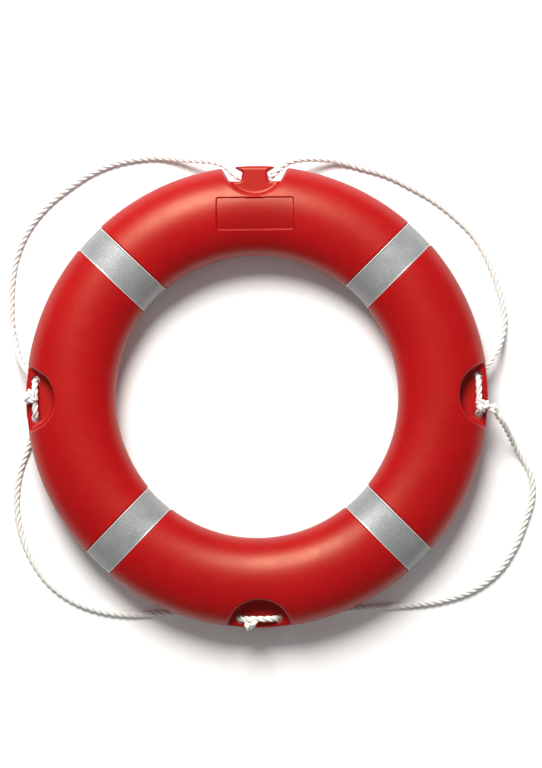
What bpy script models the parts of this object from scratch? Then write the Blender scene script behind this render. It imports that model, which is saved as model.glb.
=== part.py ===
"""Ring lifebuoy: two moulded half shells over a foam ring, four reflective bands,
and a rope grab line held at four moulded lugs. It lies flat, front face up (+Z);
the axis of the ring is Z, and the underside rests on z = 0. Metres throughout."""

import math

import bmesh
import bpy
from mathutils import Matrix, Vector

# Ring
OUTER_RADIUS = 0.375
INNER_RADIUS = 0.229
HEIGHT = 0.105
WALL = 0.0025
GAP = 0.0003
SEGMENTS = 60
SECTION_POINTS = 20
MID = HEIGHT / 2
CENTRE_RADIUS = (OUTER_RADIUS + INNER_RADIUS) / 2
HALF_WIDTH = (OUTER_RADIUS - INNER_RADIUS) / 2

# Bands and moulded recesses
RECESS_DEPTH = 0.0022
TAPE_WIDTH = 0.050
TAPE_THICKNESS = 0.0008
TAPE_CLEARANCE = 0.001
TAPE_ANGLES = {"upper_right": 44.5, "upper_left": 136.0, "lower_left": 225.5, "lower_right": 314.5}
PANEL_LENGTH = 0.124
PANEL_NEAR = 0.2683
PANEL_FAR = 0.3200

# Rope lugs, in each lug's own plan: u runs anticlockwise along the rim, v outwards
LUG_ANGLES = {"top": 90.0, "left": 180.0, "bottom": 270.0, "right": 0.0}
LUG_HALF_THICKNESS = 0.014
BOWL_HALF_WIDTH = 0.040
BOWL_SHOULDER = 0.3435
BOWL_FLOOR = 0.3255
MOUTH_HALF_WIDTH = 0.055
RIM_BEYOND = OUTER_RADIUS + 0.015
NOTCH_SIDE = [
    (0.0225, 0.3490), (0.0415, 0.3490), (0.0525, 0.3695), (0.0570, RIM_BEYOND),
    (0.0455, RIM_BEYOND), (0.0375, 0.3738), (0.0205, 0.3655), (0.0205, 0.362),
]
NOTCH_ROOF = MID + 0.0080
TURN_HOLE_RADIUS = 0.0070
ROPE_HOLE_RADIUS = 0.0072
ROPE_RADIUS_FROM_AXIS = 0.355

# Filler plug
PLUG_RADIUS = 0.008
PLUG_ANGLE = 22.5

# Grab line
ROPE_RADIUS = 0.005
ROPE_SPACING = 0.015
ON_FLOOR = ROPE_RADIUS + 0.0002
ARCH_HALF_WIDTH = 0.030
ARCH_FOOT = MID + 0.0058
ARCH_RISE = 0.019
ARCH_OUT = 0.358
ARCH_POINTS = 17
GRAB_LINES = {
    "upper_left": [
        (-0.0008, 0.355, MID), (-0.023, 0.355, MID), (-0.0375, 0.3655, 0.0515),
        (-0.0510, 0.3775, 0.0480), (-0.074, 0.3850, 0.036), (-0.099, 0.388, 0.023),
        (-0.123, 0.391, 0.013), (-0.146, 0.394, 0.0075), (-0.171, 0.395, ON_FLOOR),
        (-0.219, 0.389, ON_FLOOR), (-0.264, 0.373, ON_FLOOR), (-0.306, 0.347, ON_FLOOR),
        (-0.344, 0.316, ON_FLOOR), (-0.374, 0.278, ON_FLOOR), (-0.394, 0.233, ON_FLOOR),
        (-0.402, 0.183, ON_FLOOR), (-0.403, 0.136, 0.0065), (-0.399, 0.104, 0.013),
        (-0.391, 0.076, 0.025), (-0.383, 0.0585, 0.036), (-0.374, 0.046, 0.045),
        (-0.364, 0.035, 0.0505), (-0.355, 0.023, MID), (-0.355, 0.0008, MID),
    ],
    "upper_right": [
        (0.0008, 0.355, MID), (0.023, 0.355, MID), (0.036, 0.3655, 0.0515),
        (0.049, 0.377, 0.047), (0.066, 0.384, 0.039), (0.086, 0.387, 0.029),
        (0.108, 0.3875, 0.019), (0.130, 0.386, 0.011), (0.151, 0.382, 0.0065),
        (0.172, 0.376, ON_FLOOR), (0.215, 0.363, ON_FLOOR), (0.255, 0.343, ON_FLOOR),
        (0.294, 0.320, ON_FLOOR), (0.330, 0.291, ON_FLOOR), (0.362, 0.257, ON_FLOOR),
        (0.384, 0.216, ON_FLOOR), (0.399, 0.172, ON_FLOOR), (0.407, 0.130, 0.0065),
        (0.404, 0.098, 0.013), (0.395, 0.074, 0.025), (0.384, 0.0575, 0.036),
        (0.374, 0.046, 0.045), (0.364, 0.035, 0.0505), (0.355, 0.023, MID),
        (0.355, -0.018, MID),
    ],
    "lower_left": [
        (-0.355, -0.0008, MID), (-0.355, -0.020, MID), (-0.3565, -0.0315, 0.0465),
        (-0.3595, -0.0385, 0.0335), (-0.364, -0.045, 0.0205), (-0.369, -0.054, 0.0120),
        (-0.3735, -0.068, 0.0075), (-0.380, -0.086, 0.0057), (-0.3925, -0.123, ON_FLOOR),
        (-0.398, -0.172, ON_FLOOR), (-0.391, -0.221, ON_FLOOR), (-0.373, -0.265, ON_FLOOR),
        (-0.345, -0.304, ON_FLOOR), (-0.306, -0.333, ON_FLOOR), (-0.260, -0.350, ON_FLOOR),
        (-0.211, -0.3565, ON_FLOOR), (-0.162, -0.3555, ON_FLOOR), (-0.120, -0.355, ON_FLOOR),
        (-0.093, -0.359, 0.0055), (-0.072, -0.364, 0.0068), (-0.055, -0.3665, 0.0118),
        (-0.045, -0.3635, 0.0205), (-0.0385, -0.3595, 0.0335), (-0.0315, -0.3565, 0.0465),
        (-0.020, -0.355, MID), (-0.0008, -0.355, MID),
    ],
    "lower_right": [
        (0.3868, -0.0318, 0.0720), (0.3935, -0.0405, 0.0655), (0.402, -0.052, 0.052),
        (0.411, -0.067, 0.035), (0.420, -0.082, 0.020), (0.4295, -0.098, 0.0105),
        (0.439, -0.1135, 0.0065), (0.447, -0.130, ON_FLOOR), (0.451, -0.153, ON_FLOOR),
        (0.449, -0.177, ON_FLOOR), (0.441, -0.203, ON_FLOOR), (0.422, -0.250, ON_FLOOR),
        (0.393, -0.292, ON_FLOOR), (0.351, -0.322, ON_FLOOR), (0.299, -0.3385, ON_FLOOR),
        (0.245, -0.3455, ON_FLOOR), (0.196, -0.3485, ON_FLOOR), (0.152, -0.3515, ON_FLOOR),
        (0.120, -0.355, ON_FLOOR), (0.093, -0.359, 0.0055), (0.072, -0.364, 0.0068),
        (0.055, -0.3665, 0.0118), (0.045, -0.3635, 0.0205), (0.0385, -0.3595, 0.0335),
        (0.0315, -0.3565, 0.0465), (0.020, -0.355, MID), (0.0008, -0.355, MID),
    ],
}

# Knots on the front of three lugs: each lump's centre (u, v, z) and its radii
KNOT_LUMPS = {
    "left": [((-0.004, 0.3645, 0.0775), (0.0115, 0.0115, 0.0095))],
    "bottom": [((-0.015, 0.3645, 0.0765), (0.0100, 0.0115, 0.0090))],
    "right": [
        ((-0.017, 0.3635, 0.0775), (0.0105, 0.0105, 0.0090)),
        ((-0.023, 0.3800, 0.0757), (0.0085, 0.0095, 0.0085)),
    ],
}

COLOURS = {
    "shell": ((0.72, 0.03, 0.03, 1.0), 0.42),
    "foam": ((0.88, 0.80, 0.58, 1.0), 0.90),
    "tape": ((0.62, 0.64, 0.63, 1.0), 0.35),
    "rope": ((0.90, 0.88, 0.84, 1.0), 0.80),
    "plug": ((0.55, 0.02, 0.02, 1.0), 0.45),
}


def clear_scene():
    for old in list(bpy.data.objects):
        bpy.data.objects.remove(old, do_unlink=True)


def new_collection(name):
    group = bpy.data.collections.new(name)
    bpy.context.scene.collection.children.link(group)
    return group


def material(name, kind):
    colour, roughness = COLOURS[kind]
    made = bpy.data.materials.new(name)
    made.use_nodes = True
    shader = made.node_tree.nodes["Principled BSDF"]
    shader.inputs["Base Color"].default_value = colour
    shader.inputs["Roughness"].default_value = roughness
    shader.inputs["Metallic"].default_value = 0.0
    return made


def mesh_object(name, bm, group):
    """Turn a bmesh into a smooth-shaded object in the collection."""
    mesh = bpy.data.meshes.new(name)
    bmesh.ops.recalc_face_normals(bm, faces=bm.faces)
    bm.to_mesh(mesh)
    bm.free()
    mesh.shade_smooth()
    made = bpy.data.objects.new(name, mesh)
    group.objects.link(made)
    return made


def as_cutter(cutter):
    cutter.hide_render = True
    cutter.display_type = "WIRE"
    return cutter


def boolean(target, other, operation="DIFFERENCE"):
    step = target.modifiers.new(operation.title(), "BOOLEAN")
    step.operation = operation
    step.solver = "EXACT"
    step.object = other


def finish(part, kind):
    part.data.materials.clear()
    part.data.materials.append(material(part.name + "_material", kind))


def section(inset):
    """The ring's oval section, drawn from its top down its outer side and back up.
    The half-step start leaves a narrow flat at the crown, the sole and both waists."""
    step = 2 * math.pi / SECTION_POINTS
    spread = math.cos(step / 2)
    across = (HALF_WIDTH - inset) / spread
    up = (MID - inset) / spread
    turns = [math.pi / 2 - step / 2 - i * step for i in range(SECTION_POINTS)]
    return [(CENTRE_RADIUS + across * math.cos(t), MID + up * math.sin(t)) for t in turns]


def ring(name, inset, group):
    """A solid ring, smaller all round by the inset."""
    bm = bmesh.new()
    verts = [bm.verts.new((r, 0, z)) for r, z in section(inset)]
    for here, there in zip(verts, verts[1:] + verts[:1]):
        bm.edges.new((here, there))
    mesh = bpy.data.meshes.new(name)
    bm.to_mesh(mesh)
    bm.free()
    made = bpy.data.objects.new(name, mesh)
    group.objects.link(made)
    turn = made.modifiers.new("Turn", "SCREW")
    turn.angle = 2 * math.pi
    turn.steps = SEGMENTS
    turn.render_steps = SEGMENTS
    turn.use_merge_vertices = True
    turn.merge_threshold = 0.00001
    turn.use_smooth_shade = True
    return made


def lug_matrix(angle):
    """Places (u, v, z) of a lug at that angle round the ring."""
    return Matrix.Rotation(math.radians(angle - 90), 4, "Z") @ Matrix.Diagonal((-1, 1, 1, 1))


def add_prism(bm, outline, low, high, place):
    """An upright prism on a plan outline."""
    floor = bm.faces.new([bm.verts.new(place @ Vector((u, v, low))) for u, v in outline])
    raised = bmesh.ops.extrude_face_region(bm, geom=[floor])["geom"]
    tops = [item for item in raised if isinstance(item, bmesh.types.BMVert)]
    bmesh.ops.translate(bm, verts=tops, vec=(0, 0, high - low))


def add_box(bm, u_half, v_low, v_high, low, high, place):
    plan = [(-u_half, v_low), (u_half, v_low), (u_half, v_high), (-u_half, v_high)]
    add_prism(bm, plan, low, high, place)


def bowl_outline(grow=0.0):
    """The scooped plan around a lug: a round floor and flared sides, open at the rim."""
    sagitta = BOWL_SHOULDER - BOWL_FLOOR
    radius = (BOWL_HALF_WIDTH ** 2 + sagitta ** 2) / (2 * sagitta)
    half_turn = math.asin(BOWL_HALF_WIDTH / radius)
    steps = 8
    arc = []
    for i in range(steps + 1):
        turn = half_turn * (2 * i / steps - 1)
        u = (radius + grow) * math.sin(turn)
        v = BOWL_FLOOR + radius - (radius + grow) * math.cos(turn)
        arc.append((u, v))
    mouth = MOUTH_HALF_WIDTH + grow
    beyond = mouth + 0.008
    return arc + [(mouth, 0.370), (beyond, RIM_BEYOND), (-beyond, RIM_BEYOND), (-mouth, 0.370)]


def pocket_cutter(group):
    """The scoops above and below each lug."""
    bm = bmesh.new()
    for angle in LUG_ANGLES.values():
        place = lug_matrix(angle)
        add_prism(bm, bowl_outline(), MID + LUG_HALF_THICKNESS, HEIGHT + 0.02, place)
        add_prism(bm, bowl_outline(), -0.02, MID - LUG_HALF_THICKNESS, place)
    return as_cutter(mesh_object("pocket_cutter", bm, group))


def notch_cutter(group):
    """The slots beside each lug's neck: right through at the top lug, and roofed over at
    the others, where the rope's turn comes up through a hole on each side of the neck."""
    bm = bmesh.new()
    for name, angle in LUG_ANGLES.items():
        place = lug_matrix(angle)
        high = HEIGHT + 0.03 if name == "top" else NOTCH_ROOF
        for side in (1, -1):
            add_prism(bm, [(side * u, v) for u, v in NOTCH_SIDE], -0.03, high, place)
    return as_cutter(mesh_object("notch_cutter", bm, group))


def turn_hole_cutter(group):
    """The holes through which a turn of rope passes over the front of a lug."""
    bm = bmesh.new()
    for name, angle in LUG_ANGLES.items():
        if name == "top":
            continue
        for side in (1, -1):
            at_hole = Matrix.Translation((side * ARCH_HALF_WIDTH, ARCH_OUT, (MID + HEIGHT) / 2))
            bmesh.ops.create_cone(
                bm, cap_ends=True, segments=16, radius1=TURN_HOLE_RADIUS,
                radius2=TURN_HOLE_RADIUS, depth=HEIGHT - MID, matrix=lug_matrix(angle) @ at_hole)
    return as_cutter(mesh_object("turn_hole_cutter", bm, group))


def rope_hole_cutter(group):
    """The rope's way through each neck, along the rim."""
    bm = bmesh.new()
    for angle in LUG_ANGLES.values():
        along_u = Matrix.Rotation(math.pi / 2, 4, "Y")
        at_hole = Matrix.Translation((0, ROPE_RADIUS_FROM_AXIS, MID))
        place = Matrix.Rotation(math.radians(angle - 90), 4, "Z") @ at_hole @ along_u
        bmesh.ops.create_cone(
            bm, cap_ends=True, segments=12, radius1=ROPE_HOLE_RADIUS,
            radius2=ROPE_HOLE_RADIUS, depth=0.060, matrix=place)
    return as_cutter(mesh_object("rope_hole_cutter", bm, group))


def recess_cutter(recessed_ring, group):
    """What lies above the recess floor, under the four bands and in the front panel."""
    bm = bmesh.new()
    half = TAPE_WIDTH / 2 + TAPE_CLEARANCE
    for angle in TAPE_ANGLES.values():
        add_box(bm, half, 0.20, 0.40, -0.02, HEIGHT + 0.02, lug_matrix(angle))
    add_box(bm, PANEL_LENGTH / 2, PANEL_NEAR, PANEL_FAR, MID + 0.015, HEIGHT + 0.02, lug_matrix(90))
    made = as_cutter(mesh_object("recess_cutter", bm, group))
    boolean(made, recessed_ring)
    return made


def cavity(name, inset, grow, group, cutters):
    """The hollow inside the shells: the ring set inwards, less the solid round the lugs."""
    blocks = bmesh.new()
    for angle in LUG_ANGLES.values():
        add_prism(blocks, bowl_outline(grow), -0.04, HEIGHT + 0.04, lug_matrix(angle))
    lug_blocks = as_cutter(mesh_object(name + "_lug_blocks", blocks, cutters))
    made = ring(name, inset, group)
    boolean(made, lug_blocks)
    return made


def half_space(name, low, high, group):
    bm = bmesh.new()
    bmesh.ops.create_cube(bm, size=1.0)
    bmesh.ops.scale(bm, verts=bm.verts, vec=(1.0, 1.0, high - low))
    bmesh.ops.translate(bm, verts=bm.verts, vec=(0, 0, (low + high) / 2))
    return as_cutter(mesh_object(name, bm, group))


def build_shells(parts, cutters):
    """Front and rear halves, meeting at the middle of the ring's height."""
    recess_floor = as_cutter(ring("recess_floor_cutter", RECESS_DEPTH, cutters))
    steps = [
        recess_cutter(recess_floor, cutters),
        pocket_cutter(cutters),
        notch_cutter(cutters),
        turn_hole_cutter(cutters),
        rope_hole_cutter(cutters),
        as_cutter(cavity("cavity_cutter", RECESS_DEPTH + WALL, WALL, cutters, cutters)),
    ]
    halves = {
        "front_shell": half_space("below_cutter", -0.1, MID + GAP / 2, cutters),
        "rear_shell": half_space("above_cutter", MID - GAP / 2, 0.2, cutters),
    }
    for name, other_half in halves.items():
        shell = ring(name, 0.0, parts)
        for cutter in steps:
            boolean(shell, cutter)
        boolean(shell, other_half)
        finish(shell, "shell")
    plug_hole = bmesh.new()
    bmesh.ops.create_cone(
        plug_hole, cap_ends=True, segments=24, radius1=PLUG_RADIUS + GAP,
        radius2=PLUG_RADIUS + GAP, depth=0.02, matrix=plug_place(0.0))
    boolean(parts.objects["rear_shell"], as_cutter(mesh_object("plug_hole_cutter", plug_hole, cutters)))


def plug_place(height):
    turn = Matrix.Rotation(math.radians(PLUG_ANGLE), 4, "Z")
    return turn @ Matrix.Translation((CENTRE_RADIUS, 0, height))


def build_plug(parts):
    """The disc that closes the hole through which the foam is poured."""
    bm = bmesh.new()
    thickness = WALL + RECESS_DEPTH - 2 * GAP
    bmesh.ops.create_cone(
        bm, cap_ends=True, segments=24, radius1=PLUG_RADIUS, radius2=PLUG_RADIUS,
        depth=thickness, matrix=plug_place(GAP + thickness / 2))
    finish(mesh_object("filler_plug", bm, parts), "plug")


def build_foam(parts, cutters):
    inset = RECESS_DEPTH + WALL + GAP
    finish(cavity("foam_core", inset, WALL + GAP, parts, cutters), "foam")


def build_tapes(parts, cutters):
    """Bands that lie round the section, in the recesses."""
    top = as_cutter(ring("tape_top_cutter", RECESS_DEPTH - GAP - TAPE_THICKNESS, cutters))
    underside = as_cutter(ring("tape_underside_cutter", RECESS_DEPTH - GAP, cutters))
    for place, angle in TAPE_ANGLES.items():
        bm = bmesh.new()
        add_box(bm, TAPE_WIDTH / 2, 0.20, 0.40, -0.02, HEIGHT + 0.02, lug_matrix(angle))
        tape = mesh_object("reflective_tape_" + place, bm, parts)
        boolean(tape, top, "INTERSECT")
        boolean(tape, underside)
        finish(tape, "tape")


def catmull_rom(before, start, end, after, t):
    """A point between start and end on the smooth curve through all four."""
    a = 2 * start
    b = end - before
    c = 2 * before - 5 * start + 4 * end - after
    d = 3 * start - before - 3 * end + after
    return (a + b * t + c * t * t + d * t * t * t) / 2


def smooth_route(route, spacing):
    """Evenly spaced points on a smooth curve through the route's own points."""
    points = [Vector(p) for p in route]
    padded = [2 * points[0] - points[1]] + points + [2 * points[-1] - points[-2]]
    fine = []
    for i in range(1, len(padded) - 2):
        for j in range(24):
            fine.append(catmull_rom(padded[i - 1], padded[i], padded[i + 1], padded[i + 2], j / 24))
    fine.append(points[-1])
    lengths = [0.0]
    for here, there in zip(fine, fine[1:]):
        lengths.append(lengths[-1] + (there - here).length)
    count = max(2, round(lengths[-1] / spacing))
    even = []
    k = 0
    for i in range(count + 1):
        target = lengths[-1] * i / count
        while k < len(lengths) - 2 and lengths[k + 1] < target:
            k += 1
        share = (target - lengths[k]) / (lengths[k + 1] - lengths[k])
        even.append(fine[k].lerp(fine[k + 1], min(1.0, share)))
    return even


def tube(name, points, radius, group):
    """A round rope along the points, with flat ends."""
    curve = bpy.data.curves.new(name, "CURVE")
    curve.dimensions = "3D"
    curve.bevel_depth = radius
    curve.bevel_resolution = 2
    curve.use_fill_caps = True
    spline = curve.splines.new("POLY")
    spline.points.add(len(points) - 1)
    for point, place in zip(spline.points, points):
        point.co = (*place, 1.0)
    made = bpy.data.objects.new(name, curve)
    group.objects.link(made)
    return made


def build_grab_lines(parts):
    for place, route in GRAB_LINES.items():
        line = tube("grab_line_" + place, smooth_route(route, ROPE_SPACING), ROPE_RADIUS, parts)
        finish(line, "rope")


def arch_points(place):
    """The turn of rope over the front of a lug's neck, from notch to notch."""
    points = []
    for i in range(ARCH_POINTS):
        turn = math.pi * i / (ARCH_POINTS - 1)
        side = math.copysign(abs(math.cos(turn)) ** (2 / 3), math.cos(turn))
        height = ARCH_FOOT + ARCH_RISE * math.sin(turn) ** (2 / 3)
        points.append(place @ Vector((ARCH_HALF_WIDTH * side, ARCH_OUT, height)))
    return points


def build_hitches(parts, cutters):
    """Each turn of rope over a lug with the knot that holds it, as one body."""
    for name, lumps in KNOT_LUMPS.items():
        place = lug_matrix(LUG_ANGLES[name])
        arch = tube("arch", arch_points(place), ROPE_RADIUS, parts)
        bpy.context.view_layer.update()
        mesh = bpy.data.meshes.new_from_object(arch.evaluated_get(bpy.context.evaluated_depsgraph_get()))
        bm = bmesh.new()
        bm.from_mesh(mesh)
        bmesh.ops.remove_doubles(bm, verts=bm.verts, dist=0.00001)
        bpy.data.objects.remove(arch, do_unlink=True)
        hitch = mesh_object("hitch_knot_" + name, bm, parts)
        for number, (centre, radii) in enumerate(lumps):
            lump = bmesh.new()
            form = place @ Matrix.Translation(centre) @ Matrix.Diagonal((*radii, 1.0))
            bmesh.ops.create_uvsphere(lump, u_segments=14, v_segments=9, radius=1.0, matrix=form)
            boolean(hitch, as_cutter(mesh_object(f"{name}_lump_{number}", lump, cutters)), "UNION")
        finish(hitch, "rope")


def main():
    clear_scene()
    parts = new_collection("ring_lifebuoy")
    cutters = new_collection("cutters")
    build_shells(parts, cutters)
    build_plug(parts)
    build_foam(parts, cutters)
    build_tapes(parts, cutters)
    build_grab_lines(parts)
    build_hitches(parts, cutters)


main()
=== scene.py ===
"""Looks for the ring lifebuoy: skin, bands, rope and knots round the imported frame."""

import math

import bpy
import numpy as np
from mathutils import Matrix, Vector


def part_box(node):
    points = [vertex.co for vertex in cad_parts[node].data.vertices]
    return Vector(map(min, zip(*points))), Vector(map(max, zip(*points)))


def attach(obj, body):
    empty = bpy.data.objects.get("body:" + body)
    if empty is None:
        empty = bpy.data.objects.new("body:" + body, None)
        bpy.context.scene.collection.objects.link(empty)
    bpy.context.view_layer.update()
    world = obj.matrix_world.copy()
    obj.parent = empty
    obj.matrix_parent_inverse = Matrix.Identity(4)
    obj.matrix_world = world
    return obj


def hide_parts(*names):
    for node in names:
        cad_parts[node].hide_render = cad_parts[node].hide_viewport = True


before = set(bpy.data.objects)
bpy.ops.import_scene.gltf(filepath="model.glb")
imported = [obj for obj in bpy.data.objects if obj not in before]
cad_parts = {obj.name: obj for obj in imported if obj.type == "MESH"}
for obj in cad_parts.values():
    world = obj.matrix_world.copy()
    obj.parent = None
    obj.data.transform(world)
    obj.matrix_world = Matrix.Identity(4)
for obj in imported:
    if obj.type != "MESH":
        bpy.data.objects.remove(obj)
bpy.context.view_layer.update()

# The ring's driving sizes: outer radius and height read from the frame, the others given
SHELL_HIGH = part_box("front_shell")[1]
OUTER_RADIUS = SHELL_HIGH.y
HEIGHT = SHELL_HIGH.z
MID = HEIGHT / 2
INNER_RADIUS = 0.229
CENTRE_RADIUS = (OUTER_RADIUS + INNER_RADIUS) / 2
HALF_WIDTH = (OUTER_RADIUS - INNER_RADIUS) / 2
WALL = 0.0025

LUG_ANGLES = {"top": 90.0, "left": 180.0, "bottom": 270.0, "right": 0.0}
TAPE_ANGLES = {"upper_right": 44.5, "upper_left": 136.0, "lower_left": 225.5, "lower_right": 314.5}

# Grab line
ROPE_RADIUS = 0.005
ON_FLOOR = ROPE_RADIUS + 0.0002
LAY_LENGTH = 0.036
POINTS_PER_STRAND = 12
ROPE_STEP = 0.0015
KNOT_STEP = 0.0010


# ---------------------------------------------------------------- camera

METRES_ACROSS_PLANE = 1.2468
CAMERA_DISTANCE = 3.5
CAMERA_ROLL = math.radians(-0.6)
CAMERA_OFFSET = Vector((0.0226, 0.0209, 0.0))


def make_camera():
    """Straight above the ring, which lies flat on the floor."""
    data = bpy.data.cameras.new("camera")
    data.sensor_width = 36.0
    data.lens = data.sensor_width * CAMERA_DISTANCE / METRES_ACROSS_PLANE
    data.clip_end = 50.0
    camera = bpy.data.objects.new("camera", data)
    bpy.context.scene.collection.objects.link(camera)
    roll = Matrix.Rotation(CAMERA_ROLL, 4, "Z")
    camera.matrix_world = roll @ Matrix.Translation(CAMERA_OFFSET + Vector((0, 0, MID + CAMERA_DISTANCE)))
    bpy.context.scene.camera = camera


# ---------------------------------------------------------------- small helpers

def link(name, mesh):
    made = bpy.data.objects.new(name, mesh)
    bpy.context.scene.collection.objects.link(made)
    return made


def mesh_from(name, verts, faces):
    mesh = bpy.data.meshes.new(name)
    mesh.from_pydata(verts, [], faces)
    mesh.validate()
    mesh.shade_smooth()
    return mesh


def catmull_rom(before, start, end, after, t):
    """A point between start and end on the smooth curve through all four."""
    a = 2 * start
    b = end - before
    c = 2 * before - 5 * start + 4 * end - after
    d = 3 * start - before - 3 * end + after
    return (a + b * t + c * t * t + d * t * t * t) / 2


def smooth_route(route, spacing):
    """Evenly spaced points on a smooth curve through the route's own points, and its length."""
    points = [Vector(p) for p in route]
    padded = [2 * points[0] - points[1]] + points + [2 * points[-1] - points[-2]]
    fine = []
    for i in range(1, len(padded) - 2):
        for j in range(24):
            fine.append(catmull_rom(padded[i - 1], padded[i], padded[i + 1], padded[i + 2], j / 24))
    fine.append(points[-1])
    lengths = [0.0]
    for here, there in zip(fine, fine[1:]):
        lengths.append(lengths[-1] + (there - here).length)
    count = max(2, round(lengths[-1] / spacing))
    even = []
    k = 0
    for i in range(count + 1):
        target = lengths[-1] * i / count
        while k < len(lengths) - 2 and lengths[k + 1] < target:
            k += 1
        share = (target - lengths[k]) / max(1e-9, lengths[k + 1] - lengths[k])
        even.append(fine[k].lerp(fine[k + 1], min(1.0, share)))
    return even, lengths[-1]


# ---------------------------------------------------------------- node material helper

class Nodes:
    """A short way to write a node tree."""

    def __init__(self, name):
        self.material = bpy.data.materials.new(name)
        self.material.use_nodes = True
        self.tree = self.material.node_tree
        self.shader = self.tree.nodes["Principled BSDF"]

    def add(self, kind, **settings):
        node = self.tree.nodes.new("ShaderNode" + kind)
        for key, value in settings.items():
            setattr(node, key, value)
        return node

    def feed(self, socket, value):
        if isinstance(value, bpy.types.NodeSocket):
            self.tree.links.new(value, socket)
        elif isinstance(value, bpy.types.Node):
            self.tree.links.new(value.outputs[0], socket)
        else:
            socket.default_value = value

    def set(self, **inputs):
        for key, value in inputs.items():
            self.feed(self.shader.inputs[key.replace("_", " ")], value)

    def math(self, operation, a, b=0.0, c=0.0):
        node = self.add("Math", operation=operation)
        for socket, value in zip(node.inputs, (a, b, c)):
            self.feed(socket, value)
        return node.outputs[0]

    def ramp(self, value, stops):
        node = self.add("ValToRGB")
        ramp = node.color_ramp
        while len(ramp.elements) < len(stops):
            ramp.elements.new(0.5)
        for element, (place, colour) in zip(ramp.elements, stops):
            element.position = place
            element.color = (*colour, 1.0)
        self.feed(node.inputs[0], value)
        return node.outputs[0]

    def noise(self, scale, detail=4.0, roughness=0.5, place=None):
        node = self.add("TexNoise")
        node.inputs["Scale"].default_value = scale
        node.inputs["Detail"].default_value = detail
        node.inputs["Roughness"].default_value = roughness
        if place is not None:
            self.feed(node.inputs["Vector"], place)
        return node.outputs[0]

    def hexagons(self, x, y, per_unit):
        """Lines of a six-sided lattice: 1 on a line, 0 inside a cell."""
        lines = []
        for turn in (0.0, 60.0, 120.0):
            c, s = math.cos(math.radians(turn)), math.sin(math.radians(turn))
            along = self.math("MULTIPLY_ADD", x, c * per_unit, self.math("MULTIPLY", y, s * per_unit))
            wave = self.math("ABSOLUTE", self.math("SUBTRACT", self.math("FRACT", along), 0.5))
            lines.append(self.math("GREATER_THAN", wave, 0.41))
        return self.math("MAXIMUM", self.math("MAXIMUM", lines[0], lines[1]), lines[2])

    def inside_panel(self, place):
        """1 inside the recessed front panel, 0 outside it: where the panel's painted shade goes."""
        split = self.add("SeparateXYZ")
        self.feed(split.inputs[0], place)
        middle = (PANEL_NEAR + PANEL_FAR) / 2
        off_x = self.math("SUBTRACT", self.math("ABSOLUTE", split.outputs[0]), PANEL_HALF_LENGTH)
        off_y = self.math("ABSOLUTE", self.math("SUBTRACT", split.outputs[1], middle))
        off_y = self.math("SUBTRACT", off_y, (PANEL_FAR - PANEL_NEAR) / 2)
        inside = self.math("LESS_THAN", self.math("MAXIMUM", off_x, off_y), -0.0006)
        return self.math("MULTIPLY", inside, self.math("GREATER_THAN", split.outputs[2], MID))

    def bump(self, height, strength, distance):
        node = self.add("Bump")
        node.inputs["Strength"].default_value = strength
        node.inputs["Distance"].default_value = distance
        self.feed(node.inputs["Height"], height)
        return node.outputs[0]

    def mix(self, share, a, b):
        node = self.add("Mix", data_type="RGBA")
        self.feed(node.inputs[0], share)
        for socket, value in ((node.inputs[6], a), (node.inputs[7], b)):
            if isinstance(value, tuple):
                value = (*value, 1.0)[:4]
            self.feed(socket, value)
        return node.outputs[2]


# ---------------------------------------------------------------- rope

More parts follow.
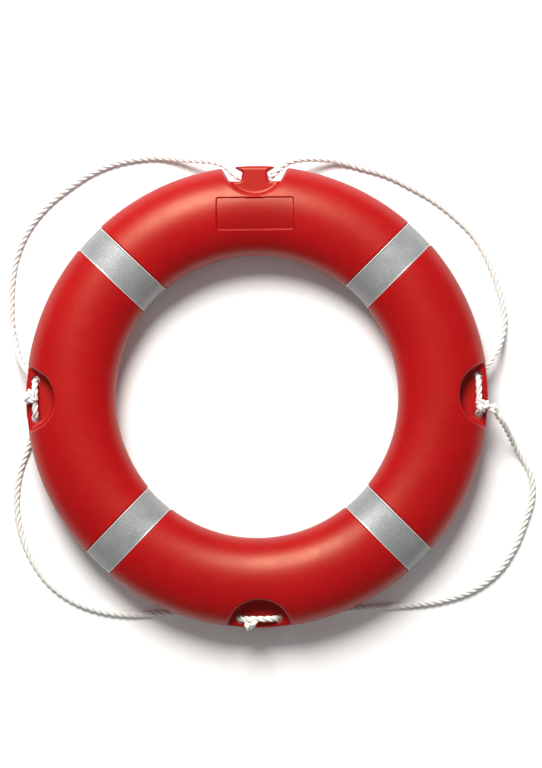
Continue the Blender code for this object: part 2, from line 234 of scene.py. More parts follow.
# Each length's centreline, from its lug out over the floor to the next lug
GRAB_LINES = {
    "upper_left": [
        (-0.0008, 0.355, MID), (-0.023, 0.355, MID), (-0.0375, 0.3655, 0.0515),
        (-0.0510, 0.3775, 0.0480), (-0.074, 0.3850, 0.036), (-0.099, 0.388, 0.023),
        (-0.123, 0.391, 0.013), (-0.146, 0.394, 0.0075), (-0.171, 0.395, ON_FLOOR),
        (-0.219, 0.389, ON_FLOOR), (-0.264, 0.373, ON_FLOOR), (-0.306, 0.347, ON_FLOOR),
        (-0.344, 0.316, ON_FLOOR), (-0.374, 0.278, ON_FLOOR), (-0.394, 0.233, ON_FLOOR),
        (-0.402, 0.183, ON_FLOOR), (-0.403, 0.136, 0.0065), (-0.399, 0.104, 0.013),
        (-0.391, 0.076, 0.025), (-0.383, 0.0585, 0.036), (-0.374, 0.046, 0.045),
        (-0.364, 0.035, 0.0505), (-0.355, 0.023, MID), (-0.355, 0.0008, MID),
    ],
    "upper_right": [
        (0.0008, 0.355, MID), (0.023, 0.355, MID), (0.036, 0.3655, 0.0515),
        (0.049, 0.377, 0.047), (0.066, 0.384, 0.039), (0.086, 0.387, 0.029),
        (0.108, 0.3875, 0.019), (0.130, 0.386, 0.011), (0.151, 0.382, 0.0065),
        (0.172, 0.376, ON_FLOOR), (0.215, 0.363, ON_FLOOR), (0.255, 0.343, ON_FLOOR),
        (0.294, 0.320, ON_FLOOR), (0.330, 0.291, ON_FLOOR), (0.362, 0.257, ON_FLOOR),
        (0.384, 0.216, ON_FLOOR), (0.399, 0.172, ON_FLOOR), (0.407, 0.130, 0.0065),
        (0.404, 0.098, 0.013), (0.395, 0.074, 0.025), (0.384, 0.0575, 0.036),
        (0.374, 0.046, 0.045), (0.364, 0.035, 0.0505), (0.355, 0.023, MID),
        (0.355, -0.018, MID),
    ],
    "lower_left": [
        (-0.355, -0.0008, MID), (-0.355, -0.020, MID), (-0.3565, -0.0315, 0.0465),
        (-0.3595, -0.0385, 0.0335), (-0.364, -0.045, 0.0205), (-0.369, -0.054, 0.0120),
        (-0.3735, -0.068, 0.0075), (-0.380, -0.086, 0.0057), (-0.3925, -0.123, ON_FLOOR),
        (-0.398, -0.172, ON_FLOOR), (-0.391, -0.221, ON_FLOOR), (-0.373, -0.265, ON_FLOOR),
        (-0.345, -0.304, ON_FLOOR), (-0.306, -0.333, ON_FLOOR), (-0.260, -0.350, ON_FLOOR),
        (-0.211, -0.3565, ON_FLOOR), (-0.162, -0.3555, ON_FLOOR), (-0.120, -0.355, ON_FLOOR),
        (-0.093, -0.359, 0.0055), (-0.072, -0.364, 0.0068), (-0.055, -0.3665, 0.0118),
        (-0.045, -0.3635, 0.0205), (-0.0385, -0.3595, 0.0335), (-0.0315, -0.3565, 0.0465),
        (-0.020, -0.355, MID), (-0.0008, -0.355, MID),
    ],
    "lower_right": [
        (0.3868, -0.0318, 0.0720), (0.3935, -0.0405, 0.0655), (0.402, -0.052, 0.052),
        (0.411, -0.067, 0.035), (0.420, -0.082, 0.020), (0.4295, -0.098, 0.0105),
        (0.439, -0.1135, 0.0065), (0.447, -0.130, ON_FLOOR), (0.451, -0.153, ON_FLOOR),
        (0.449, -0.177, ON_FLOOR), (0.441, -0.203, ON_FLOOR), (0.422, -0.250, ON_FLOOR),
        (0.393, -0.292, ON_FLOOR), (0.351, -0.322, ON_FLOOR), (0.299, -0.3385, ON_FLOOR),
        (0.245, -0.3455, ON_FLOOR), (0.196, -0.3485, ON_FLOOR), (0.152, -0.3515, ON_FLOOR),
        (0.120, -0.355, ON_FLOOR), (0.093, -0.359, 0.0055), (0.072, -0.364, 0.0068),
        (0.055, -0.3665, 0.0118), (0.045, -0.3635, 0.0205), (0.0385, -0.3595, 0.0335),
        (0.0315, -0.3565, 0.0465), (0.020, -0.355, MID), (0.0008, -0.355, MID),
    ],
}


def strand_outline(points_per_strand):
    """One third of the section of a three-strand rope, as (angle, share of the radius)."""
    small = 1 / (1 + 2 / math.sqrt(3))
    middle = 1 - small
    outline = []
    for i in range(points_per_strand):
        turn = math.radians(120) * (i / points_per_strand - 0.5)
        reach = middle * math.cos(turn) + math.sqrt(max(0.0, small ** 2 - (middle * math.sin(turn)) ** 2))
        outline.append((turn, reach))
    return outline


def laid_rope(name, points, round_ends=False):
    """A three-strand rope along the points: its lobes turn once in each lay length."""
    outline = strand_outline(POINTS_PER_STRAND)
    around = 3 * POINTS_PER_STRAND
    tangents = []
    for i in range(len(points)):
        ahead = points[min(i + 1, len(points) - 1)]
        behind = points[max(i - 1, 0)]
        tangents.append((ahead - behind).normalized())
    side = tangents[0].orthogonal().normalized()
    verts, uvs = [], []
    along = 0.0
    for i, (point, tangent) in enumerate(zip(points, tangents)):
        if i:
            along += (point - points[i - 1]).length
        side = (side - tangent * side.dot(tangent)).normalized()
        up = tangent.cross(side)
        scale = ROPE_RADIUS
        if round_ends:
            left = min(i, len(points) - 1 - i)
            scale *= math.sqrt(min(1.0, (left + 0.6) / 4))
        for strand in range(3):
            for turn, reach in outline:
                angle = turn + math.radians(120) * strand + 2 * math.pi * along / LAY_LENGTH
                verts.append(point + scale * reach * (side * math.cos(angle) + up * math.sin(angle)))
                uvs.append((strand / 3 + (turn / math.radians(120) + 0.5) / 3, along))
    faces = []
    for i in range(len(points) - 1):
        for j in range(around):
            a = i * around + j
            b = i * around + (j + 1) % around
            faces.append((a, b, b + around, a + around))
    last = (len(points) - 1) * around
    faces.append(tuple(reversed(range(around))))
    faces.append(tuple(range(last, last + around)))
    mesh = mesh_from(name, verts, faces)
    layer = mesh.uv_layers.new(name="lay")
    for polygon in mesh.polygons:
        seam = [uvs[mesh.loops[k].vertex_index] for k in polygon.loop_indices]
        wraps = max(u for u, v in seam) - min(u for u, v in seam) > 0.5
        for k, (u, v) in zip(polygon.loop_indices, seam):
            layer.data[k].uv = (u + 1.0 if wraps and u < 0.5 else u, v * 10)
    return link(name, mesh)


def rope_material():
    nodes = Nodes("white_rope")
    place = nodes.add("UVMap", uv_map="lay").outputs[0]
    shift = nodes.add("Mapping")
    nodes.feed(shift.inputs["Vector"], place)
    shift.inputs["Rotation"].default_value = (0, 0, 0.16)
    shift.inputs["Scale"].default_value = (30.0, 1.2, 1.0)
    yarn = nodes.add("TexWave", wave_type="BANDS", bands_direction="X")
    nodes.feed(yarn.inputs["Vector"], shift)
    yarn.inputs["Scale"].default_value = 0.31
    yarn.inputs["Distortion"].default_value = 1.2
    yarn.inputs["Detail"].default_value = 2.0
    object_place = nodes.add("TexCoord").outputs["Object"]
    fibre = nodes.noise(2600.0, 3.0, 0.6, object_place)
    grime = nodes.noise(24.0, 4.0, 0.6, object_place)
    base = nodes.ramp(grime, [(0.35, (0.86, 0.84, 0.80)), (0.65, (0.94, 0.93, 0.905))])
    # Painted shade: the rope is darker in the grooves between the yarns, where the bump is low
    shade = nodes.ramp(yarn.outputs[1], [(0.0, (0.84, 0.82, 0.79)), (0.6, (0.98, 0.975, 0.965))])
    tint = nodes.add("Mix", data_type="RGBA", blend_type="MULTIPLY")
    tint.inputs[0].default_value = 0.8
    nodes.feed(tint.inputs[6], base)
    nodes.feed(tint.inputs[7], shade)
    height = nodes.math("ADD", yarn.outputs[1], nodes.math("MULTIPLY", fibre, 0.5))
    nodes.set(Base_Color=tint.outputs[2], Normal=nodes.bump(height, 0.5, 0.0006))
    nodes.shader.inputs["Roughness"].default_value = 0.72
    nodes.shader.inputs["Sheen Weight"].default_value = 0.25
    return nodes.material


def make_grab_lines(material, knots):
    for place, route in GRAB_LINES.items():
        points, length = smooth_route(route, ROPE_STEP)
        rope = laid_rope("rope_" + place, points)
        rope.data.materials.append(material)
        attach(rope, "root")
        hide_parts("grab_line_" + place)


# ---------------------------------------------------------------- knots

# The turn of rope over the front of a lug's neck
ARCH_HALF_WIDTH = 0.030
ARCH_FOOT = MID + 0.0045
ARCH_RISE = 0.0203
ARCH_OUT = 0.358
ARCH_POWER = 2 / 3

# Each knot's lumps on the front of its lug: centre (u, v, z), half sizes, and turn in degrees
KNOTS = {
    "left": [((-0.004, 0.3645, 0.0790), (0.0132, 0.0124, 0.0105), 20.0)],
    "bottom": [((-0.015, 0.3645, 0.0780), (0.0120, 0.0122, 0.0100), 75.0)],
    "right": [
        ((-0.017, 0.3635, 0.0790), (0.0124, 0.0122, 0.0105), 40.0),
        ((-0.023, 0.3800, 0.0765), (0.0098, 0.0102, 0.0092), 110.0),
    ],
}


def lug_matrix(angle):
    """Turns a lug's own (u, v, z) into the frame, for the lug at that angle round the ring."""
    return Matrix.Rotation(math.radians(angle - 90), 4, "Z") @ Matrix.Diagonal((-1, 1, 1, 1))


def arch_route():
    """The squared-off turn of rope over the front of a lug's neck, from hole to hole."""
    route = []
    for i in range(17):
        turn = math.pi * i / 16
        side = math.copysign(abs(math.cos(turn)) ** ARCH_POWER, math.cos(turn))
        route.append((ARCH_HALF_WIDTH * side, ARCH_OUT, ARCH_FOOT + ARCH_RISE * math.sin(turn) ** ARCH_POWER))
    return route


def overhand_route(centre, half_sizes, turn_degrees):
    """A closed overhand knot drawn tight round the centre."""
    spin = Matrix.Rotation(math.radians(turn_degrees), 3, "Z")
    reach = [size - ROPE_RADIUS for size in half_sizes]
    widest = 2.8
    route = []
    for i in range(49):
        t = math.pi / 6 + 2 * math.pi * i / 48
        x = math.sin(t) + 2 * math.sin(2 * t)
        y = math.cos(t) - 2 * math.cos(2 * t)
        turned = spin @ Vector((x, y, -math.sin(3 * t)))
        offset = (turned.x / widest * reach[0], turned.y / widest * reach[1], turned.z * reach[2])
        route.append(Vector(centre) + Vector(offset))
    return route


def join(pieces, name):
    """One object from several, keeping each one's own map."""
    with bpy.context.temp_override(active_object=pieces[0], selected_editable_objects=pieces):
        bpy.ops.object.join()
    pieces[0].name = pieces[0].data.name = name
    return pieces[0]


def make_knots(material):
    made = {}
    for name, lumps in KNOTS.items():
        place = lug_matrix(LUG_ANGLES[name])
        routes = [arch_route()] + [overhand_route(*lump) for lump in lumps]
        pieces = []
        for number, route in enumerate(routes):
            points, _ = smooth_route([place @ Vector(p) for p in route], KNOT_STEP)
            pieces.append(laid_rope(f"turn_{number}", points, round_ends=True))
        knot = join(pieces, "knot_" + name)
        knot.data.materials.append(material)
        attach(knot, "root")
        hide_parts("hitch_knot_" + name)
        made[name] = knot
    return made


# ---------------------------------------------------------------- shell: the moulded form

# The lugs in plan: u along the rim, v outwards from the ring's centre
LUG_HALF_THICKNESS = 0.014
BOWL_HALF_WIDTH = 0.040
BOWL_SHOULDER = 0.3435
BOWL_FLOOR = 0.3255
MOUTH = (0.055, 0.370)
NOTCH_SIDE = [
    (0.0225, 0.3490), (0.0415, 0.3490), (0.0525, 0.3695), (0.0570, 0.390),
    (0.0455, 0.390), (0.0375, 0.3738), (0.0205, 0.3655), (0.0205, 0.362),
]
NOTCH_ROOF = MID + 0.0080
TURN_HOLE_RADIUS = 0.0070
ROPE_HOLE = (0.355, 0.0072)
RECESS_DEPTH = 0.0022
RECESS_HALF_WIDTH = 0.0260
RECESS_DRAFT = 0.0011
PANEL_HALF_LENGTH = 0.0620
PANEL_NEAR, PANEL_FAR = 0.2683, 0.3200
PANEL_DRAFT = 0.0018
PANEL_CORNER = 0.004
PLUG_ANGLE = 22.5
PLUG_HOLE_RADIUS = 0.0083
GAP = 0.0003
SEAM_DEPTH = 0.0005
SEAM_HALF_WIDTH = 0.0009
CELL_Z = 0.00175

# Rows of the surface grid, closer together across the panel's long edges and the lugs
RADIAL_ROWS = [
    (INNER_RADIUS - 0.0029, 0.2665, 0.0021), (0.2669, 0.2765, 0.0009), (0.2782, 0.3180, 0.0021),
    (0.3190, 0.3275, 0.0009), (0.3286, 0.3795, 0.0015),
]


def smooth_max(a, b, k):
    """The larger of two fields, with the crease between them rounded over k."""
    h = np.maximum(k - np.abs(a - b), 0.0) / k
    return np.maximum(a, b) + h * h * k * 0.25


def smooth_step(t):
    t = np.clip(t, 0.0, 1.0)
    return t * t * (3 - 2 * t)


def round_corners(outline, radius):
    """The outline with each corner drawn as a short curve."""
    rounded = []
    for i, corner in enumerate(outline):
        here = np.array(corner)
        before = np.array(outline[i - 1]) - here
        after = np.array(outline[(i + 1) % len(outline)]) - here
        start = here + before * min(0.45, radius / np.linalg.norm(before))
        end = here + after * min(0.45, radius / np.linalg.norm(after))
        for t in (0.0, 0.25, 0.5, 0.75, 1.0):
            rounded.append((1 - t) ** 2 * start + 2 * t * (1 - t) * here + t * t * end)
    return rounded


def outline_distance(u, v, outline):
    """Signed distance in plan to a closed outline, negative inside."""
    nearest = np.full(u.shape, np.inf)
    inside = np.zeros(u.shape, bool)
    for (u0, v0), (u1, v1) in zip(outline, outline[1:] + outline[:1]):
        du, dv = u1 - u0, v1 - v0
        t = np.clip(((u - u0) * du + (v - v0) * dv) / (du * du + dv * dv), 0.0, 1.0)
        nearest = np.minimum(nearest, (u - u0 - t * du) ** 2 + (v - v0 - t * dv) ** 2)
        if v0 != v1:
            crosses = (v0 > v) != (v1 > v)
            inside ^= crosses & (u < u0 + (v - v0) * du / dv)
    return np.where(inside, -1.0, 1.0) * np.sqrt(nearest)


NOTCH_OUTLINE = round_corners(NOTCH_SIDE, 0.0035)


def ring_distance(x, y, z, inset=0.0):
    """Signed distance to the plain oval-section ring."""
    a, b = HALF_WIDTH - inset, MID - inset
    across, up = np.hypot(x, y) - CENTRE_RADIUS, z - MID
    k0 = np.maximum(np.hypot(across / a, up / b), 1e-4)
    k1 = np.maximum(np.hypot(across / a ** 2, up / b ** 2), 1e-3)
    return k0 * (k0 - 1) / k1


def lug_plan(x, y):
    """Each point in the plan of its nearest lug: distance along the rim, and outwards."""
    sideways = np.abs(x) > np.abs(y)
    return np.where(sideways, np.abs(y), np.abs(x)), np.where(sideways, np.abs(x), np.abs(y))


def notch_distance(x, y, z, u, v):
    """The slots beside each neck: open at the top lug, roofed with a hole at the others."""
    slot = outline_distance(u, v, NOTCH_OUTLINE)
    roofed = smooth_max(slot, z - NOTCH_ROOF, 0.002)
    return np.where(y > np.abs(x), slot, roofed)


def turn_hole_distance(x, y, z, u, v):
    """The holes through which the rope's turn passes at every lug but the top one."""
    hole = np.maximum(np.hypot(u - ARCH_HALF_WIDTH, v - ARCH_OUT) - TURN_HOLE_RADIUS, MID - z)
    return np.where(y > np.abs(x), 1.0, hole)


def bowl_distance(u, v):
    """Signed distance in plan to the scooped bowl round a lug, negative inside."""
    sagitta = BOWL_SHOULDER - BOWL_FLOOR
    radius = (BOWL_HALF_WIDTH ** 2 + sagitta ** 2) / (2 * sagitta)
    centre = BOWL_FLOOR + radius
    arc = np.hypot(u, v - centre) - radius
    du, dv = MOUTH[0] - BOWL_HALF_WIDTH, MOUTH[1] - BOWL_SHOULDER
    length = math.hypot(du, dv)
    flare = ((u - BOWL_HALF_WIDTH) * dv - (v - BOWL_SHOULDER) * du) / length
    beyond = (v - BOWL_SHOULDER) * BOWL_HALF_WIDTH + (u - BOWL_HALF_WIDTH) * (centre - BOWL_SHOULDER) > 0
    return np.where(beyond, flare, arc)


def recess_depth(x, y, z):
    """How far the bands' recesses and the front panel lie below the plain ring."""
    depth = np.zeros(x.shape)
    for angle in TAPE_ANGLES.values():
        c, s = math.cos(math.radians(angle)), math.sin(math.radians(angle))
        off_centre = np.where(x * c + y * s > 0, np.abs(y * c - x * s), 1.0)
        depth = np.maximum(depth, 1 - smooth_step((off_centre - RECESS_HALF_WIDTH) / RECESS_DRAFT))
    du = np.abs(x) - PANEL_HALF_LENGTH + PANEL_CORNER
    dv = np.abs(y - (PANEL_NEAR + PANEL_FAR) / 2) - (PANEL_FAR - PANEL_NEAR) / 2 + PANEL_CORNER
    off_panel = np.hypot(np.maximum(du, 0), np.maximum(dv, 0))
    off_panel += np.minimum(np.maximum(du, dv), 0) - PANEL_CORNER
    panel = 1 - smooth_step(off_panel / PANEL_DRAFT + 0.5)
    depth = np.maximum(depth, np.where(z > MID + 0.012, panel, 0.0))
    return depth * RECESS_DEPTH


def outer_distance(x, y, z):
    """Signed distance to the whole moulded outside, both halves together."""
    skin = ring_distance(x, y, z) + recess_depth(x, y, z)
    skin = skin + SEAM_DEPTH * np.exp(-((z - MID) / SEAM_HALF_WIDTH) ** 2)
    u, v = lug_plan(x, y)
    bowl = bowl_distance(u, v)
    height = np.abs(z - MID) - LUG_HALF_THICKNESS
    pocket = smooth_max(bowl + 0.001 - 0.06 * np.maximum(height, 0.0), -height, 0.007)
    skin = smooth_max(skin, -pocket, 0.0048)
    skin = smooth_max(skin, -notch_distance(x, y, z, u, v), 0.0045)
    skin = smooth_max(skin, -turn_hole_distance(x, y, z, u, v), 0.0020)
    hole = np.maximum(np.hypot(v - ROPE_HOLE[0], z - MID) - ROPE_HOLE[1], u - 0.030)
    return smooth_max(skin, -hole, 0.0016)


def cavity_distance(x, y, z):
    """Signed distance to the hollow that the foam fills."""
    bowl = bowl_distance(*lug_plan(x, y)) - WALL
    return smooth_max(ring_distance(x, y, z, RECESS_DEPTH + WALL), -bowl, 0.004)


def plug_hole_distance(x, y, z):
    a = math.radians(PLUG_ANGLE)
    off = np.hypot(x - CENTRE_RADIUS * math.cos(a), y - CENTRE_RADIUS * math.sin(a)) - PLUG_HOLE_RADIUS
    return np.maximum(off, z - 0.02)


def shell_distance(x, y, z):
    outside = smooth_max(outer_distance(x, y, z), -plug_hole_distance(x, y, z), 0.0010)
    return np.maximum(outside, -cavity_distance(x, y, z))


def slope(field, points, step=0.00025):
    """The field's gradient at the points."""
    parts = []
    for axis in range(3):
        ahead, behind = points.copy(), points.copy()
        ahead[:, axis] += step
        behind[:, axis] -= step
        parts.append((field(*ahead.T) - field(*behind.T)) / (2 * step))
    return np.stack(parts, axis=1)


def onto_surface(field, points, rounds, flat=False):
    """Moves the points along the gradient until the field is zero there."""
    for _ in range(rounds):
        gradient = slope(field, points)
        if flat:
            gradient[:, 2] = 0.0
        length = np.maximum((gradient ** 2).sum(1), 0.05)
        move = gradient * (field(*points.T) / length)[:, None]
        reach = np.linalg.norm(move, axis=1)
        move *= np.minimum(1.0, 0.0015 / np.maximum(reach, 1e-9))[:, None]
        points = points - move
    return points


def plan_lines(radii):
    """The angle of every upright grid sheet at every radius, close together where the
    form is fine. Sheets across a lug or a band are parallel, so they follow its edges."""
    tape_side = [
        0.0058, 0.0115, 0.017, 0.0215, 0.0240, 0.0250,
        0.0257, 0.0264, 0.0271, 0.0280, 0.0295, 0.0315,
    ]
    tape = [-u for u in reversed(tape_side)] + [0.0] + tape_side
    lug = list(np.linspace(-0.075, 0.075, 97))
    plug = list(np.linspace(-0.0125, 0.0125, 18))
    zones = [(angle, lug) for angle in LUG_ANGLES.values()]
    zones += [(angle, tape) for angle in TAPE_ANGLES.values()]
    zones = sorted(zones + [(PLUG_ANGLE, plug)], key=lambda zone: zone[0])
    sheets = []
    for i, (angle, offsets) in enumerate(zones):
        lines = [math.radians(angle) + np.arcsin(u / radii) for u in offsets]
        sheets += lines
        next_angle, next_offsets = zones[(i + 1) % len(zones)]
        turn = 2 * math.pi if i == len(zones) - 1 else 0.0
        following = math.radians(next_angle) + turn + np.arcsin(next_offsets[0] / radii)
        steps = math.ceil((following - lines[-1]).mean() * CENTRE_RADIUS / 0.0080)
        for j in range(1, steps):
            t = j / steps
            sheets.append((1 - t) * lines[-1] + t * following)
    return np.array(sheets)


def grid_surface(points, values, left_handed):
    """The zero surface of a field on a grid that closes on itself along its first axis:
    one vertex in each cell it passes through, one four-sided face round each edge it cuts."""
    inside = values < 0
    count_j, count_i, count_k = values.shape
    near = np.zeros((count_j, count_i - 1, count_k - 1), np.int8)
    corners = [(j, i, k) for j in (0, 1) for i in (0, 1) for k in (0, 1)]
    for j, i, k in corners:
        near += np.roll(inside, -j, axis=0)[:, i:count_i - 1 + i, k:count_k - 1 + k]
    mixed = (near > 0) & (near < 8)
    number = np.full(mixed.shape, -1)
    number[mixed] = np.arange(mixed.sum())
    cj, ci, ck = np.nonzero(mixed)
    total, weight = np.zeros((len(cj), 3)), np.zeros(len(cj))
    for a in corners:
        for axis in range(3):
            if a[axis]:
                continue
            b = tuple(1 if n == axis else a[n] for n in range(3))
            at_a = ((cj + a[0]) % count_j, ci + a[1], ck + a[2])
            at_b = ((cj + b[0]) % count_j, ci + b[1], ck + b[2])
            value_a, value_b = values[at_a], values[at_b]
            cut = (value_a < 0) != (value_b < 0)
            t = np.where(cut, value_a / np.where(cut, value_a - value_b, 1.0), 0.0)[:, None]
            total += np.where(cut[:, None], points[at_a] * (1 - t) + points[at_b] * t, 0.0)
            weight += cut
    faces = []
    rings = {
        0: [(0, -1, -1), (0, 0, -1), (0, 0, 0), (0, -1, 0)],
        1: [(-1, 0, -1), (0, 0, -1), (0, 0, 0), (-1, 0, 0)],
        2: [(-1, -1, 0), (0, -1, 0), (0, 0, 0), (-1, 0, 0)],
    }
    for axis, around in rings.items():
        following = np.roll(inside, -1, axis=axis)
        cut = inside != following
        if axis != 1:
            cut[:, 0], cut[:, -1] = False, False
        else:
            cut[:, -1] = False
        if axis != 2:
            cut[:, :, 0], cut[:, :, -1] = False, False
        else:
            cut[:, :, -1] = False
        ej, ei, ek = np.nonzero(cut)
        quads = np.stack([number[(ej + j) % count_j, ei + i, ek + k] for j, i, k in around], axis=1)
        flip = inside[ej, ei, ek] == ((axis == 1) != left_handed)
        quads[flip] = quads[flip][:, ::-1]
        faces.append(quads)
    return total / weight[:, None], np.concatenate(faces), (cj, ci, ck)


def half_shell(name, side):
    """One moulded half: +1 is the front, -1 the rear."""
    radii = np.concatenate([np.arange(low, high, step) for low, high, step in RADIAL_ROWS])
    sheets = plan_lines(radii)
    joint = MID + side * GAP / 2
    layers = joint + side * CELL_Z * (np.arange(math.ceil((MID + 0.003) / CELL_Z)) - 0.5)
    angle = np.repeat(sheets[:, :, None], len(layers), axis=2)
    radius = np.broadcast_to(radii[None, :, None], angle.shape)
    height = np.broadcast_to(layers, angle.shape)
    points = np.stack([radius * np.cos(angle), radius * np.sin(angle), height], axis=-1)
    whole = shell_distance(points[..., 0], points[..., 1], points[..., 2])
    values = np.maximum(whole, side * (joint - points[..., 2]))
    places, quads, (cj, ci, ck) = grid_surface(points, values, left_handed=side > 0)

    at_joint = ck == 0
    on_skin = np.zeros(len(places), bool)
    signs = [whole[(cj + j) % len(sheets), ci + i, 1] < 0 for j in (0, 1) for i in (0, 1)]
    on_skin[at_joint] = (np.any(signs, axis=0) & ~np.all(signs, axis=0))[at_joint]
    free = ~at_joint
    places[free] = onto_surface(shell_distance, places[free], 4)
    places[at_joint, 2] = joint
    places[on_skin] = onto_surface(shell_distance, places[on_skin], 4, flat=True)

    mesh = mesh_from(name, places.tolist(), quads.tolist())
    shell = link(name, mesh)
    hidden = free & (-cavity_distance(*places.T) > outer_distance(*places.T) - 0.0006)
    group = shell.vertex_groups.new(name="hidden")
    group.add([int(n) for n in np.nonzero(hidden)[0]], 1.0, "REPLACE")
    thin = shell.modifiers.new("Thin", "DECIMATE")
    thin.vertex_group = "hidden"
    thin.ratio = 1 - 0.93 * hidden.mean()
    bpy.context.view_layer.update()
    thinned = bpy.data.meshes.new_from_object(shell.evaluated_get(bpy.context.evaluated_depsgraph_get()))
    shell.modifiers.clear()
    shell.vertex_groups.clear()
    shell.data = thinned
    thinned.name = name
    bpy.data.meshes.remove(mesh)
    return smooth_shell(shell, joint, side)


def smooth_shell(shell, joint, side):
    """Shades the shell by the field's own slope, so that its curves show no facets."""
    mesh = shell.data
    where = np.zeros(len(mesh.vertices) * 3)
    mesh.vertices.foreach_get("co", where)
    where = where.reshape(-1, 3)
    normals = slope(shell_distance, where)
    flat = (np.abs(where[:, 2] - joint) < 1e-5) & (shell_distance(*where.T) < -0.0004)
    normals[flat] = (0, 0, -side)
    normals /= np.maximum(np.linalg.norm(normals, axis=1), 1e-9)[:, None]
    mesh.shade_smooth()
    mesh.normals_split_custom_set_from_vertices(normals.tolist())
    return shell


def shell_material():
    """Moulded plastic: fine grain, faint clouding, small scuffs, and painted shade darkening the recessed
    front panel.
    """
    nodes = Nodes("red_shell")
    place = nodes.add("TexCoord").outputs["Object"]
    grain = nodes.noise(1500.0, 3.0, 0.6, place)
    ripple = nodes.noise(55.0, 3.0, 0.5, place)
    cloud = nodes.noise(9.0, 4.0, 0.55, place)
    scuff = nodes.noise(420.0, 2.0, 0.7, place)
    marks = nodes.math("SMOOTH_MAX", nodes.math("SUBTRACT", scuff, 0.66), 0.0, 0.02)
    marks = nodes.math("MULTIPLY", marks, 3.0)
    marks = nodes.math("MULTIPLY", marks, nodes.math("GREATER_THAN", ripple, 0.5))
    base = nodes.ramp(cloud, [(0.30, (0.325, 0.0020, 0.0042)), (0.72, (0.372, 0.0026, 0.0050))])
    # Painted shade: the recessed front panel is mixed towards a darker red
    base = nodes.mix(nodes.math("MULTIPLY", nodes.inside_panel(place), 0.24), base, (0.20, 0.006, 0.006))
    nodes.set(Base_Color=nodes.mix(marks, base, (0.62, 0.10, 0.09)))
    rough = nodes.math("MULTIPLY_ADD", ripple, 0.12, nodes.math("MULTIPLY_ADD", grain, 0.10, 0.265))
    nodes.set(Roughness=nodes.math("ADD", rough, nodes.math("MULTIPLY", marks, 0.2)))
    height = nodes.math("MULTIPLY_ADD", ripple, 1.0, nodes.math("MULTIPLY", grain, 0.10))
    nodes.set(Normal=nodes.bump(height, 0.25, 0.0004))
    nodes.shader.inputs["Specular Tint"].default_value = (1.0, 0.76, 0.52, 1.0)
    nodes.shader.inputs["IOR"].default_value = 1.42
    return nodes.material


def foam_material():
    nodes = Nodes("closed_cell_foam")
    place = nodes.add("TexCoord").outputs["Object"]
    cells = nodes.add("TexVoronoi")
    nodes.feed(cells.inputs["Vector"], place)
    cells.inputs["Scale"].default_value = 700.0
    cloud = nodes.noise(30.0, 4.0, 0.6, place)
    nodes.set(Base_Color=nodes.ramp(cloud, [(0.3, (0.72, 0.60, 0.34)), (0.7, (0.86, 0.77, 0.52))]))
    nodes.set(Roughness=nodes.math("MULTIPLY_ADD", cloud, 0.1, 0.85))
    nodes.set(Normal=nodes.bump(cells.outputs[0], 0.6, 0.0006))
    return nodes.material


def make_shells(material):
    for name, side in (("front", 1), ("rear", -1)):
        shell = half_shell(name + "_moulding", side)
        shell.data.materials.append(material)
        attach(shell, "root")
        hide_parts(name + "_shell")


# ---------------------------------------------------------------- reflective bands

TAPE_HALF_WIDTH = 0.025
TAPE_TOP_INSET = 0.0011
TAPE_UNDER_INSET = 0.0019
BEAD_WIDTH = 0.0014
BEAD_HEIGHT = 0.00022


def tape_profile():
    """The band's own section as (u, inset): flat, with a low bead along both edges."""
    half = TAPE_HALF_WIDTH
    ease = 0.0002
    side = [(half, TAPE_UNDER_INSET - ease), (half, TAPE_TOP_INSET + ease), (half - ease / 2, TAPE_TOP_INSET)]
    for t in (0.25, 0.5, 0.75, 1.0):
        lift = BEAD_HEIGHT * math.sin(math.pi * t)
        side.append((half - ease / 2 - BEAD_WIDTH * t, TAPE_TOP_INSET - lift))
    middle = [(u, TAPE_TOP_INSET) for u in np.linspace(0.0215, -0.0215, 15)]
    other = [(-u, inset) for u, inset in reversed(side)]
    under = [(u, TAPE_UNDER_INSET) for u in np.linspace(-0.0248, 0.0248, 7)]
    return side + middle + other + under


def make_tape(place, angle, material):
    profile = tape_profile()
    turns = np.linspace(-math.pi / 2, 1.5 * math.pi, 361)[:-1]
    c, s = math.cos(math.radians(angle)), math.sin(math.radians(angle))
    verts, along, length = [], [], 0.0
    for n, turn in enumerate(turns):
        if n:
            mean = (turn + turns[n - 1]) / 2
            length += (turn - turns[n - 1]) * math.hypot(HALF_WIDTH * math.sin(mean), MID * math.cos(mean))
        along.append(length)
        for u, inset in profile:
            r = CENTRE_RADIUS + (HALF_WIDTH - inset) * math.cos(turn)
            v = math.sqrt(r * r - u * u)
            verts.append((v * c - u * s, v * s + u * c, MID + (MID - inset) * math.sin(turn)))
    count, width = len(turns), len(profile)
    whole = length * count / (count - 1)
    faces, corners = [], []
    for i in range(count):
        for j in range(width):
            k = (j + 1) % width
            ahead = (i + 1) % count
            faces.append((i * width + j, i * width + k, ahead * width + k, ahead * width + j))
            start, end = along[i], along[ahead] if ahead else whole
            here, beside = profile[j][0], profile[k][0]
            corners += [(here, start), (beside, start), (beside, end), (here, end)]
    mesh = mesh_from("band_" + place, verts, faces)
    layer = mesh.uv_layers.new(name="band")
    layer.data.foreach_set("uv", [x for u, v in corners for x in (u / TAPE_HALF_WIDTH, v / TAPE_HALF_WIDTH)])
    band = link("band_" + place, mesh)
    band.data.materials.append(material)
    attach(band, "root")
    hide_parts("reflective_tape_" + place)


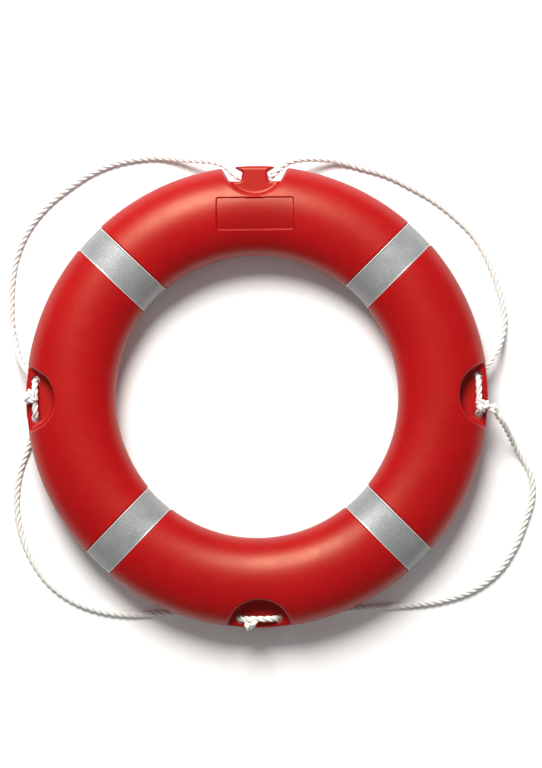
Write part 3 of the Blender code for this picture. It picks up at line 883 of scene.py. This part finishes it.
def tape_material():
    """Silver retro-reflective sheet: a six-sided cell pattern under a clear face, with a painted highlight
    along both edges."""
    nodes = Nodes("silver_band")
    place = nodes.add("UVMap", uv_map="band").outputs[0]
    split = nodes.add("SeparateXYZ")
    nodes.feed(split.inputs[0], place)
    across = nodes.math("ABSOLUTE", split.outputs[0])
    # Painted highlight: a lighter strip along each edge of the band
    edge = nodes.math("MULTIPLY", nodes.math("SUBTRACT", across, 0.942), 40.0)
    edge = nodes.math("MAXIMUM", nodes.math("SMOOTH_MIN", edge, 1.0, 0.1), 0.0)
    lattice = nodes.hexagons(split.outputs[0], split.outputs[1], 5.6)
    object_place = nodes.add("TexCoord").outputs["Object"]
    mottle = nodes.noise(230.0, 3.0, 0.6, object_place)
    cloud = nodes.noise(38.0, 3.0, 0.5, object_place)
    speck = nodes.noise(1500.0, 2.0, 0.6, object_place)
    light = nodes.math("MULTIPLY_ADD", mottle, 0.22, nodes.math("MULTIPLY_ADD", cloud, 0.16, 0.0))
    light = nodes.math("MULTIPLY_ADD", speck, 0.08, light)
    light = nodes.math("SUBTRACT", light, nodes.math("MULTIPLY", lattice, 0.16))
    grey = nodes.ramp(light, [(0.02, (0.195, 0.208, 0.212)), (0.36, (0.405, 0.422, 0.422))])
    colour = nodes.mix(edge, grey, (0.72, 0.66, 0.65))
    nodes.set(Base_Color=colour)
    nodes.set(Roughness=nodes.math("MULTIPLY_ADD", cloud, 0.2, 0.34))
    height = nodes.math("MULTIPLY_ADD", lattice, -0.6, nodes.math("MULTIPLY", mottle, 0.35))
    nodes.set(Normal=nodes.bump(height, 0.35, 0.0002))
    nodes.shader.inputs["Metallic"].default_value = 0.25
    nodes.shader.inputs["Coat Weight"].default_value = 0.25
    nodes.shader.inputs["Coat Roughness"].default_value = 0.3
    return nodes.material


# ---------------------------------------------------------------- stage

def make_stage():
    mesh = mesh_from("floor", [(-6, -6, 0), (6, -6, 0), (6, 6, 0), (-6, 6, 0)], [(0, 1, 2, 3)])
    floor = link("floor", mesh)
    nodes = Nodes("pale_floor")
    nodes.set(Base_Color=(0.86, 0.86, 0.85, 1.0), Roughness=0.9)
    floor.data.materials.append(nodes.material)


def area_light(name, towards, distance, size, power, colour):
    data = bpy.data.lights.new(name, "AREA")
    data.shape = "DISK"
    data.size = size
    data.energy = power
    data.color = colour
    lamp = bpy.data.objects.new(name, data)
    bpy.context.scene.collection.objects.link(lamp)
    lamp.location = Vector((0, 0, MID)) + towards * distance
    lamp.rotation_mode = "QUATERNION"
    lamp.rotation_quaternion = towards.to_track_quat("Z", "Y")


def direction(azimuth, elevation):
    a, e = math.radians(azimuth), math.radians(elevation)
    return Vector((math.cos(a) * math.cos(e), math.sin(a) * math.cos(e), math.sin(e)))


def make_lights():
    area_light("key", direction(103, 51), 4.6, 2.2, 345, (1.0, 0.98, 0.955))
    world = bpy.data.worlds.new("studio")
    bpy.context.scene.world = world
    world.use_nodes = True
    back = world.node_tree.nodes["Background"]
    back.inputs[0].default_value = (1.0, 1.0, 1.0, 1.0)
    back.inputs[1].default_value = 0.30
    world.cycles_visibility.glossy = False
    bpy.context.scene.view_settings.view_transform = "Standard"


# ---------------------------------------------------------------- CAD nodes that stay

def dress(node, material):
    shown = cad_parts[node]
    shown.data.materials.clear()
    shown.data.materials.append(material)


def main():
    make_camera()
    rope = rope_material()
    make_grab_lines(rope, make_knots(rope))
    shell = shell_material()
    make_shells(shell)
    dress("filler_plug", shell)
    dress("foam_core", foam_material())
    tape = tape_material()
    for place, angle in TAPE_ANGLES.items():
        make_tape(place, angle, tape)
    make_stage()
    make_lights()


main()
